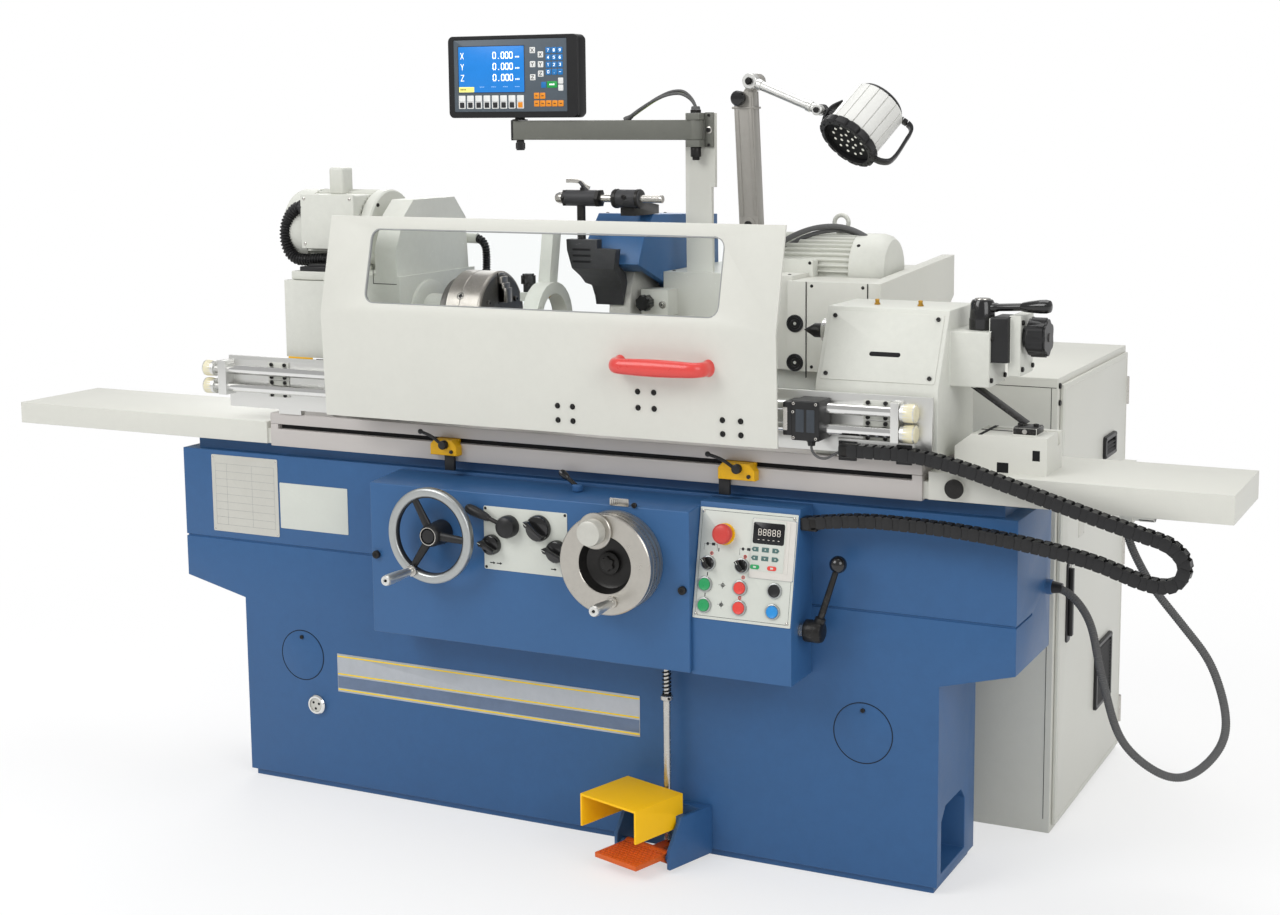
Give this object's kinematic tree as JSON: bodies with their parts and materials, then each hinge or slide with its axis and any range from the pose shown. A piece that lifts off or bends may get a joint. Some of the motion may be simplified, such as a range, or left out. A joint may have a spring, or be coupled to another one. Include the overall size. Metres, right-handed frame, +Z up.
{
  "type": "cylindrical grinding machine",
  "caption": "Cylindrical grinding machine with sliding swivel table, workhead, tailstock, wheelhead, splash door, hand controls, foot pedal and cabinet.",
  "frame": {"origin": "on the floor under the work axis, at the middle of the bed's front part", "axes": "+X along the table to the operator's right, +Y from the operator to the back, +Z up"},
  "size_m": [2.813, 1.2751, 1.67],
  "materials": {
    "paint_blue": "semi-gloss machine enamel",
    "paint_white": "fine-textured light grey enamel",
    "paint_yellow": "gloss enamel",
    "paint_orange": "gloss enamel",
    "ground_iron": "ground and scraped",
    "bright_steel": "turned and ground",
    "satin_aluminium": "satin cast and turned",
    "black_plastic": "moulded, slightly textured",
    "black_rubber": "corrugated sheath",
    "grey_plastic": "powder-coated dark grey",
    "red_plastic": "moulded",
    "green_plastic": "moulded",
    "blue_plastic": "moulded",
    "clear_pane": "clear sheet",
    "abrasive": "vitrified abrasive grain"
  },
  "bodies": {
    "bed": {"bed": "paint_blue", "apron_housing": "paint_blue", "control_box": "paint_blue", "electrical_cabinet": "paint_white", "pedal_bracket": "paint_blue", "energy_chain": "black_plastic", "cable_hose": "black_rubber", "pedal_spring": "bright_steel"},
    "cabinet_door": {"cabinet_door": "paint_white"},
    "pedal": {"pedal": "paint_orange"},
    "pedal_rod": {"pedal_rod": "bright_steel"},
    "table_handwheel": {"table_handwheel": "satin_aluminium"},
    "table_handwheel_grip": {"table_handwheel_grip": "satin_aluminium"},
    "crossfeed_handwheel": {"crossfeed_handwheel": "satin_aluminium"},
    "crossfeed_grip": {"crossfeed_grip": "satin_aluminium"},
    "fine_feed_knob": {"fine_feed_knob": "satin_aluminium"},
    "pointer_knob_upper": {"pointer_knob_upper": "black_plastic"},
    "pointer_knob_left": {"pointer_knob_left": "black_plastic"},
    "pointer_knob_right": {"pointer_knob_right": "black_plastic"},
    "ball_lever_knob": {"ball_lever_knob": "black_plastic"},
    "reversing_lever": {"reversing_lever": "black_plastic"},
    "feed_ball_lever": {"feed_ball_lever": "black_plastic"},
    "emergency_stop": {"emergency_stop": "red_plastic"},
    "selector_left": {"selector_left": "black_plastic"},
    "selector_right": {"selector_right": "black_plastic"},
    "lower_table": {"lower_table": "ground_iron", "way_guard_left": "paint_white", "way_guard_right": "paint_white"},
    "table_dog_left": {"table_dog_left": "paint_yellow"},
    "table_dog_right": {"table_dog_right": "paint_yellow"},
    "upper_table": {"upper_table": "ground_iron", "rail_frame": "satin_aluminium", "safety_switch": "black_plastic"},
    "door": {"door_panel": "paint_white", "door_window": "clear_pane", "door_handle": "red_plastic"},
    "workhead": {"workhead_body": "paint_white", "workhead_motor": "paint_white"},
    "chuck": {"chuck": "bright_steel"},
    "steady_rest": {"steady_rest": "paint_white"},
    "tailstock": {"tailstock_body": "paint_white"},
    "tailstock_quill": {"tailstock_quill": "bright_steel"},
    "tailstock_lever": {"tailstock_lever": "black_plastic"},
    "cross_slide": {"cross_slide": "paint_white"},
    "wheelhead": {"wheelhead_housing": "paint_white", "wheel_hood": "paint_blue", "wheel_motor": "paint_white", "coolant_nozzle": "black_plastic"},
    "grinding_wheel": {"grinding_wheel": "abrasive"},
    "display_arm": {"display_arm": "grey_plastic"},
    "display_console": {"display_console": "grey_plastic"},
    "lamp_post": {"lamp_post": "satin_aluminium"},
    "lamp_arm": {"lamp_arm": "satin_aluminium"},
    "lamp_head": {"lamp_head": "satin_aluminium"},
    "button_green_upper": {"button_green_upper": "green_plastic"},
    "button_green_lower": {"button_green_lower": "green_plastic"},
    "button_red_upper": {"button_red_upper": "red_plastic"},
    "button_red_lower": {"button_red_lower": "red_plastic"},
    "button_black": {"button_black": "black_plastic"},
    "button_blue": {"button_blue": "blue_plastic"}
  },
  "joints": [
    {"name": "button_green_upper_press", "type": "slide", "parent": "bed", "child": "button_green_upper", "axis": [0, 0.9806, -0.1961], "range_m": [0, 0.004], "stiffness_N_per_m": 400, "springref_m": -0.002},
    {"name": "button_green_lower_press", "type": "slide", "parent": "bed", "child": "button_green_lower", "axis": [0, 0.9806, -0.1961], "range_m": [0, 0.004], "stiffness_N_per_m": 400, "springref_m": -0.002},
    {"name": "button_red_upper_press", "type": "slide", "parent": "bed", "child": "button_red_upper", "axis": [0, 0.9806, -0.1961], "range_m": [0, 0.004], "stiffness_N_per_m": 400, "springref_m": -0.002},
    {"name": "button_red_lower_press", "type": "slide", "parent": "bed", "child": "button_red_lower", "axis": [0, 0.9806, -0.1961], "range_m": [0, 0.004], "stiffness_N_per_m": 400, "springref_m": -0.002},
    {"name": "button_black_press", "type": "slide", "parent": "bed", "child": "button_black", "axis": [0, 0.9806, -0.1961], "range_m": [0, 0.004], "stiffness_N_per_m": 400, "springref_m": -0.002},
    {"name": "button_blue_press", "type": "slide", "parent": "bed", "child": "button_blue", "axis": [0, 0.9806, -0.1961], "range_m": [0, 0.004], "stiffness_N_per_m": 400, "springref_m": -0.002},
    {"name": "emergency_stop_press", "type": "slide", "parent": "bed", "child": "emergency_stop", "axis": [0, 0.9806, -0.1961], "range_m": [0, 0.005]},
    {"name": "selector_left_turn", "type": "hinge", "parent": "bed", "child": "selector_left", "pos_m": [0.3701, -0.19429, 0.63355], "axis": [0, -0.9806, 0.1961], "range_deg": [-45, 45]},
    {"name": "selector_right_turn", "type": "hinge", "parent": "bed", "child": "selector_right", "pos_m": [0.4412, -0.19409, 0.63453], "axis": [0, -0.9806, 0.1961], "range_deg": [-45, 45]},
    {"name": "table_handwheel_turn", "type": "hinge", "parent": "bed", "child": "table_handwheel", "pos_m": [-0.222, -0.26, 0.649], "axis": [0, 1, 0], "continuous": true},
    {"name": "table_handwheel_grip_turn", "type": "hinge", "parent": "table_handwheel", "child": "table_handwheel_grip", "pos_m": [-0.263, -0.32, 0.574], "axis": [0, 1, 0], "continuous": true},
    {"name": "crossfeed_handwheel_turn", "type": "hinge", "parent": "bed", "child": "crossfeed_handwheel", "pos_m": [0.188, -0.25, 0.631], "axis": [0, 1, 0], "continuous": true},
    {"name": "crossfeed_grip_turn", "type": "hinge", "parent": "crossfeed_handwheel", "child": "crossfeed_grip", "pos_m": [0.204, -0.32, 0.559], "axis": [0, 1, 0], "continuous": true},
    {"name": "fine_feed_knob_turn", "type": "hinge", "parent": "crossfeed_handwheel", "child": "fine_feed_knob", "pos_m": [0.17, -0.297, 0.698], "axis": [0, 1, 0], "continuous": true},
    {"name": "pointer_knob_upper_turn", "type": "hinge", "parent": "bed", "child": "pointer_knob_upper", "pos_m": [0.009, -0.24, 0.677], "axis": [0, 1, 0], "range_deg": [-60, 60]},
    {"name": "pointer_knob_left_turn", "type": "hinge", "parent": "bed", "child": "pointer_knob_left", "pos_m": [-0.102, -0.24, 0.633], "axis": [0, 1, 0], "range_deg": [-60, 60]},
    {"name": "pointer_knob_right_turn", "type": "hinge", "parent": "bed", "child": "pointer_knob_right", "pos_m": [0.05, -0.24, 0.633], "axis": [0, 1, 0], "range_deg": [-60, 60]},
    {"name": "ball_lever_turn", "type": "hinge", "parent": "bed", "child": "ball_lever_knob", "pos_m": [-0.06, -0.24, 0.675], "axis": [0, 1, 0], "range_deg": [-25, 60]},
    {"name": "reversing_lever_turn", "type": "hinge", "parent": "bed", "child": "reversing_lever", "pos_m": [0.06, -0.157, 0.752], "axis": [0, 0, 1], "range_deg": [-25, 25]},
    {"name": "feed_ball_lever_turn", "type": "hinge", "parent": "bed", "child": "feed_ball_lever", "pos_m": [0.576, -0.17, 0.515], "axis": [1, 0, 0], "range_deg": [-8, 60]},
    {"name": "pedal_press", "type": "hinge", "parent": "bed", "child": "pedal", "pos_m": [0.22937, -0.19136, 0.025], "axis": [0.9563, -0.2924, 0], "range_deg": [0, 10], "stiffness_Nm_per_rad": 5, "springref_deg": -20.05},
    {"name": "pedal_rod_lift", "type": "slide", "parent": "bed", "child": "pedal_rod", "axis": [0, 0, 1], "range_m": [0, 0.012], "deforming": ["pedal_spring"]},
    {"name": "table_travel", "type": "slide", "parent": "bed", "child": "lower_table", "axis": [1, 0, 0], "range_m": [-0.46, 0.2]},
    {"name": "table_swivel", "type": "hinge", "parent": "lower_table", "child": "upper_table", "pos_m": [0.026, 0, 0.827], "axis": [0, 0, 1], "range_deg": [0, 3]},
    {"name": "dog_left_set", "type": "slide", "parent": "lower_table", "child": "table_dog_left", "axis": [1, 0, 0], "range_m": [-0.35, 0.15]},
    {"name": "dog_right_set", "type": "slide", "parent": "lower_table", "child": "table_dog_right", "axis": [1, 0, 0], "range_m": [-0.2, 0.25]},
    {"name": "door_slide", "type": "slide", "parent": "upper_table", "child": "door", "axis": [1, 0, 0], "range_m": [-0.62, 0]},
    {"name": "workhead_swivel", "type": "hinge", "parent": "upper_table", "child": "workhead", "pos_m": [-0.488, 0, 0.853], "axis": [0, 0, 1], "range_deg": [-15, 10]},
    {"name": "chuck_spin", "type": "hinge", "parent": "workhead", "child": "chuck", "pos_m": [-0.26, 0, 1.075], "axis": [1, 0, 0], "continuous": true},
    {"name": "steady_rest_set", "type": "slide", "parent": "upper_table", "child": "steady_rest", "axis": [1, 0, 0], "range_m": [-0.03, 0.35]},
    {"name": "tailstock_set", "type": "slide", "parent": "upper_table", "child": "tailstock", "axis": [1, 0, 0], "range_m": [-0.3, 0]},
    {"name": "quill_retract", "type": "slide", "parent": "tailstock", "child": "tailstock_quill", "axis": [1, 0, 0], "range_m": [0, 0.03]},
    {"name": "tailstock_lever_turn", "type": "hinge", "parent": "tailstock", "child": "tailstock_lever", "pos_m": [0.852, 0.002, 1.12], "axis": [0, 0, 1], "range_deg": [0, 45], "stiffness_Nm_per_rad": 2, "springref_deg": -11.46},
    {"name": "cross_feed", "type": "slide", "parent": "bed", "child": "cross_slide", "axis": [0, 1, 0], "range_m": [-0.045, 0.155]},
    {"name": "wheelhead_swivel", "type": "hinge", "parent": "cross_slide", "child": "wheelhead", "pos_m": [0.3, 0.41, 0.968], "axis": [0, 0, 1], "range_deg": [-15, 15]},
    {"name": "wheel_spin", "type": "hinge", "parent": "wheelhead", "child": "grinding_wheel", "pos_m": [0.025, 0.27, 1.075], "axis": [1, 0, 0], "continuous": true},
    {"name": "display_arm_swing", "type": "hinge", "parent": "wheelhead", "child": "display_arm", "pos_m": [0.172, 0.174, 1.465], "axis": [0, 0, 1], "range_deg": [-5, 80]},
    {"name": "display_console_turn", "type": "hinge", "parent": "display_arm", "child": "display_console", "pos_m": [-0.255, 0.174, 1.49], "axis": [0, 0, 1], "range_deg": [-60, 60]},
    {"name": "lamp_swivel", "type": "hinge", "parent": "wheelhead", "child": "lamp_post", "pos_m": [0.28, 0.22, 1.24], "axis": [0, 0, 1], "range_deg": [-90, 90]},
    {"name": "lamp_elbow", "type": "hinge", "parent": "lamp_post", "child": "lamp_arm", "pos_m": [0.29, 0.195, 1.565], "axis": [0, 1, 0], "range_deg": [-50, 12]},
    {"name": "lamp_tilt", "type": "hinge", "parent": "lamp_arm", "child": "lamp_head", "pos_m": [0.44, 0.205, 1.505], "axis": [0, 1, 0], "range_deg": [-30, 30]},
    {"name": "cabinet_door_turn", "type": "hinge", "parent": "bed", "child": "cabinet_door", "pos_m": [0.9333, 0.886, 0.48], "axis": [0, 0, 1], "range_deg": [0, 110]}
  ],
  "couplings": [
    {"joint": "pedal_rod_lift", "follows": "pedal_press", "m_per_rad": 0.05},
    {"joint": "quill_retract", "follows": "tailstock_lever_turn", "m_per_rad": 0.035}
  ]
}
